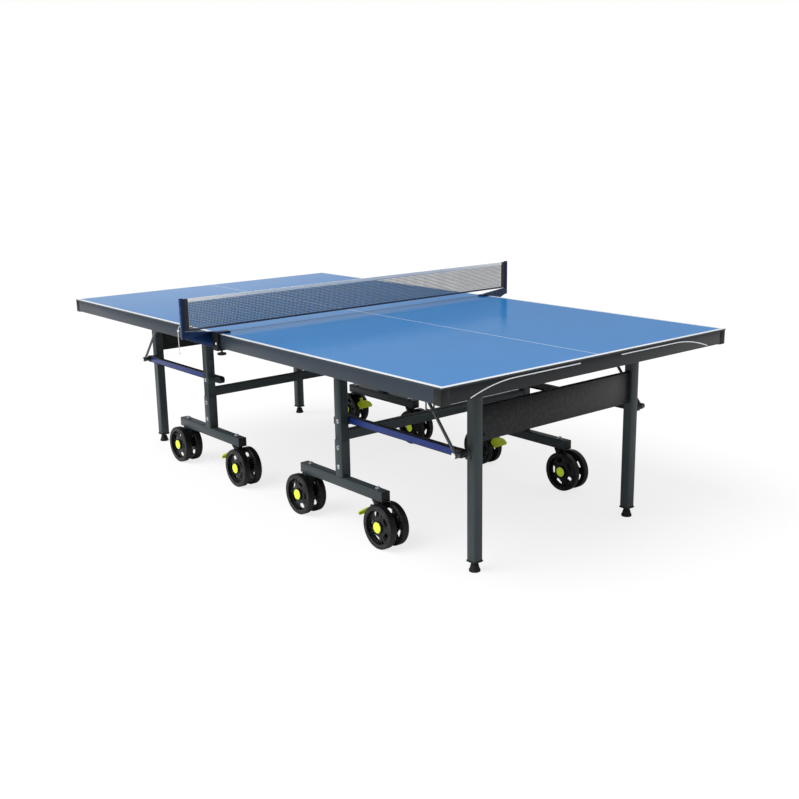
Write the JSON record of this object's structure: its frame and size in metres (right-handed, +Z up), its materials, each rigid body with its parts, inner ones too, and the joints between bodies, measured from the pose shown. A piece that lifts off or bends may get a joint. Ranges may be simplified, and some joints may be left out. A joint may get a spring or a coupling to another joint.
{
  "type": "folding ping pong table",
  "caption": "Folding outdoor ping pong table in two wheeled halves with end legs, link bars, braked twin-wheel casters and a clamp-on net.",
  "frame": {"origin": "on the floor under the middle of the net", "axes": "+X along the table towards half a, +Y across the table, +Z up"},
  "size_m": [2.74, 1.8421, 0.9155],
  "materials": {
    "play_board": "satin",
    "side_rail": "satin",
    "dark_rail": "satin",
    "under_frame": "satin",
    "black_fitting": "satin",
    "frame_tube": "satin",
    "bolt": "polished",
    "leg_panel": "satin",
    "foot": "matte",
    "link_bar": "satin",
    "stay_rod": "satin",
    "caster_fork": "satin",
    "wheel": "satin",
    "brake_lever": "gloss",
    "net_post": "satin",
    "clamp_screw": "satin",
    "net_mesh": "matte",
    "net_tape": "matte",
    "net_sleeve": "matte",
    "net_cord": "matte"
  },
  "bodies": {
    "carriage_a": {"carriage_frame_a": "frame_tube", "wheel_beams_a": "frame_tube", "beam_caps_a": "black_fitting", "carriage_bolts_a": "bolt"},
    "top_a": {"top_panel_a": "play_board", "side_rails_a": "side_rail", "end_rails_a": "dark_rail", "cross_rails_a": "under_frame", "guide_channels_a": "under_frame", "corner_fittings_a": "black_fitting", "net_bracket_near": "net_post", "net_bracket_far": "net_post", "net_mesh": "net_mesh", "net_tape": "net_tape", "net_sleeves": "net_sleeve", "net_cord": "net_cord"},
    "legs_a": {"end_legs_a": "frame_tube", "leg_panel_a": "leg_panel"},
    "links_a": {"link_bars_a": "link_bar"},
    "stays_a": {"stay_rods_a": "stay_rod"},
    "foot_a1": {"foot_a1": "foot"},
    "foot_a2": {"foot_a2": "foot"},
    "fork_a1": {"caster_fork_a1": "caster_fork"},
    "wheels_a1": {"caster_wheels_a1": "wheel"},
    "fork_a2": {"caster_fork_a2": "caster_fork"},
    "wheels_a2": {"caster_wheels_a2": "wheel"},
    "fork_a3": {"caster_fork_a3": "caster_fork"},
    "wheels_a3": {"caster_wheels_a3": "wheel"},
    "fork_a4": {"caster_fork_a4": "caster_fork"},
    "wheels_a4": {"caster_wheels_a4": "wheel"},
    "brake_a1": {"brake_lever_a1": "brake_lever"},
    "brake_a4": {"brake_lever_a4": "brake_lever"},
    "carriage_b": {"carriage_frame_b": "frame_tube", "wheel_beams_b": "frame_tube", "beam_caps_b": "black_fitting", "carriage_bolts_b": "bolt"},
    "top_b": {"top_panel_b": "play_board", "side_rails_b": "side_rail", "end_rails_b": "dark_rail", "cross_rails_b": "under_frame", "guide_channels_b": "under_frame", "corner_fittings_b": "black_fitting"},
    "legs_b": {"end_legs_b": "frame_tube", "leg_panel_b": "leg_panel"},
    "links_b": {"link_bars_b": "link_bar"},
    "stays_b": {"stay_rods_b": "stay_rod"},
    "foot_b1": {"foot_b1": "foot"},
    "foot_b2": {"foot_b2": "foot"},
    "fork_b1": {"caster_fork_b1": "caster_fork"},
    "wheels_b1": {"caster_wheels_b1": "wheel"},
    "fork_b2": {"caster_fork_b2": "caster_fork"},
    "wheels_b2": {"caster_wheels_b2": "wheel"},
    "fork_b3": {"caster_fork_b3": "caster_fork"},
    "wheels_b3": {"caster_wheels_b3": "wheel"},
    "fork_b4": {"caster_fork_b4": "caster_fork"},
    "wheels_b4": {"caster_wheels_b4": "wheel"},
    "brake_b1": {"brake_lever_b1": "brake_lever"},
    "brake_b4": {"brake_lever_b4": "brake_lever"},
    "clamp_near": {"clamp_screw_near": "clamp_screw"},
    "clamp_far": {"clamp_screw_far": "clamp_screw"}
  },
  "joints": [
    {"name": "halves_apart", "type": "slide", "parent": "carriage_a", "child": "carriage_b", "axis": [-1, 0, 0], "range_m": [0, 0.3]},
    {"name": "fold_a", "type": "hinge", "parent": "carriage_a", "child": "top_a", "pos_m": [0.462, 0, 0.7], "axis": [0, -1, 0], "range_deg": [0, 90]},
    {"name": "legs_turn_a", "type": "hinge", "parent": "top_a", "child": "legs_a", "pos_m": [1.162, 0, 0.7], "axis": [0, -1, 0], "range_deg": [-90, 0]},
    {"name": "links_swing_a", "type": "hinge", "parent": "carriage_a", "child": "links_a", "pos_m": [0.462, 0, 0.447], "axis": [0, -1, 0], "range_deg": [0, 90]},
    {"name": "stays_swing_a", "type": "hinge", "parent": "legs_a", "child": "stays_a", "pos_m": [1.162, 0, 0.447], "axis": [0, -1, 0], "range_deg": [0, 134]},
    {"name": "foot_level_a1", "type": "slide", "parent": "legs_a", "child": "foot_a1", "axis": [0, 0, -1], "range_m": [-0.006, 0.012]},
    {"name": "foot_level_a2", "type": "slide", "parent": "legs_a", "child": "foot_a2", "axis": [0, 0, -1], "range_m": [-0.006, 0.012]},
    {"name": "swivel_a1", "type": "hinge", "parent": "carriage_a", "child": "fork_a1", "pos_m": [0.73, -0.515, 0.18], "axis": [0, 0, 1], "continuous": true},
    {"name": "roll_a1", "type": "hinge", "parent": "fork_a1", "child": "wheels_a1", "pos_m": [0.775, -0.515, 0.086], "axis": [0, 1, 0], "continuous": true},
    {"name": "brake_press_a1", "type": "hinge", "parent": "fork_a1", "child": "brake_a1", "pos_m": [0.704, -0.515, 0.146], "axis": [0, -1, 0], "range_deg": [0, 18]},
    {"name": "swivel_a2", "type": "hinge", "parent": "carriage_a", "child": "fork_a2", "pos_m": [0.29, -0.515, 0.18], "axis": [0, 0, 1], "continuous": true},
    {"name": "roll_a2", "type": "hinge", "parent": "fork_a2", "child": "wheels_a2", "pos_m": [0.245, -0.515, 0.086], "axis": [0, 1, 0], "continuous": true},
    {"name": "swivel_a3", "type": "hinge", "parent": "carriage_a", "child": "fork_a3", "pos_m": [0.73, 0.515, 0.18], "axis": [0, 0, 1], "continuous": true},
    {"name": "roll_a3", "type": "hinge", "parent": "fork_a3", "child": "wheels_a3", "pos_m": [0.775, 0.515, 0.086], "axis": [0, 1, 0], "continuous": true},
    {"name": "swivel_a4", "type": "hinge", "parent": "carriage_a", "child": "fork_a4", "pos_m": [0.29, 0.515, 0.18], "axis": [0, 0, 1], "continuous": true},
    {"name": "roll_a4", "type": "hinge", "parent": "fork_a4", "child": "wheels_a4", "pos_m": [0.245, 0.515, 0.086], "axis": [0, 1, 0], "continuous": true},
    {"name": "brake_press_a4", "type": "hinge", "parent": "fork_a4", "child": "brake_a4", "pos_m": [0.316, 0.515, 0.146], "axis": [0, 1, 0], "range_deg": [0, 18]},
    {"name": "fold_b", "type": "hinge", "parent": "carriage_b", "child": "top_b", "pos_m": [-0.462, 0, 0.7], "axis": [0, 1, 0], "range_deg": [0, 90]},
    {"name": "legs_turn_b", "type": "hinge", "parent": "top_b", "child": "legs_b", "pos_m": [-1.162, 0, 0.7], "axis": [0, 1, 0], "range_deg": [-90, 0]},
    {"name": "links_swing_b", "type": "hinge", "parent": "carriage_b", "child": "links_b", "pos_m": [-0.462, 0, 0.447], "axis": [0, 1, 0], "range_deg": [0, 90]},
    {"name": "stays_swing_b", "type": "hinge", "parent": "legs_b", "child": "stays_b", "pos_m": [-1.162, 0, 0.447], "axis": [0, 1, 0], "range_deg": [0, 134]},
    {"name": "foot_level_b1", "type": "slide", "parent": "legs_b", "child": "foot_b1", "axis": [0, 0, -1], "range_m": [-0.006, 0.012]},
    {"name": "foot_level_b2", "type": "slide", "parent": "legs_b", "child": "foot_b2", "axis": [0, 0, -1], "range_m": [-0.006, 0.012]},
    {"name": "swivel_b1", "type": "hinge", "parent": "carriage_b", "child": "fork_b1", "pos_m": [-0.73, 0.515, 0.18], "axis": [0, 0, 1], "continuous": true},
    {"name": "roll_b1", "type": "hinge", "parent": "fork_b1", "child": "wheels_b1", "pos_m": [-0.775, 0.515, 0.086], "axis": [0, 1, 0], "continuous": true},
    {"name": "brake_press_b1", "type": "hinge", "parent": "fork_b1", "child": "brake_b1", "pos_m": [-0.704, 0.515, 0.146], "axis": [0, 1, 0], "range_deg": [0, 18]},
    {"name": "swivel_b2", "type": "hinge", "parent": "carriage_b", "child": "fork_b2", "pos_m": [-0.29, 0.515, 0.18], "axis": [0, 0, 1], "continuous": true},
    {"name": "roll_b2", "type": "hinge", "parent": "fork_b2", "child": "wheels_b2", "pos_m": [-0.245, 0.515, 0.086], "axis": [0, 1, 0], "continuous": true},
    {"name": "swivel_b3", "type": "hinge", "parent": "carriage_b", "child": "fork_b3", "pos_m": [-0.73, -0.515, 0.18], "axis": [0, 0, 1], "continuous": true},
    {"name": "roll_b3", "type": "hinge", "parent": "fork_b3", "child": "wheels_b3", "pos_m": [-0.775, -0.515, 0.086], "axis": [0, 1, 0], "continuous": true},
    {"name": "swivel_b4", "type": "hinge", "parent": "carriage_b", "child": "fork_b4", "pos_m": [-0.29, -0.515, 0.18], "axis": [0, 0, 1], "continuous": true},
    {"name": "roll_b4", "type": "hinge", "parent": "fork_b4", "child": "wheels_b4", "pos_m": [-0.245, -0.515, 0.086], "axis": [0, 1, 0], "continuous": true},
    {"name": "brake_press_b4", "type": "hinge", "parent": "fork_b4", "child": "brake_b4", "pos_m": [-0.316, -0.515, 0.146], "axis": [0, -1, 0], "range_deg": [0, 18]},
    {"name": "clamp_near_turn_down", "type": "slide", "parent": "top_a", "child": "clamp_near", "axis": [0, 0, -1], "range_m": [0, 0.012]},
    {"name": "clamp_far_turn_down", "type": "slide", "parent": "top_a", "child": "clamp_far", "axis": [0, 0, -1], "range_m": [0, 0.012]}
  ],
  "couplings": [
    {"joint": "legs_turn_a", "follows": "fold_a", "ratio": -1},
    {"joint": "links_swing_a", "follows": "fold_a", "ratio": 1},
    {"joint": "stays_swing_a", "follows": "fold_a", "ratio": 1.487},
    {"joint": "legs_turn_b", "follows": "fold_b", "ratio": -1},
    {"joint": "links_swing_b", "follows": "fold_b", "ratio": 1},
    {"joint": "stays_swing_b", "follows": "fold_b", "ratio": 1.487},
    {"joint": "halves_apart", "follows": "fold_a", "m_per_rad": 0.19}
  ]
}
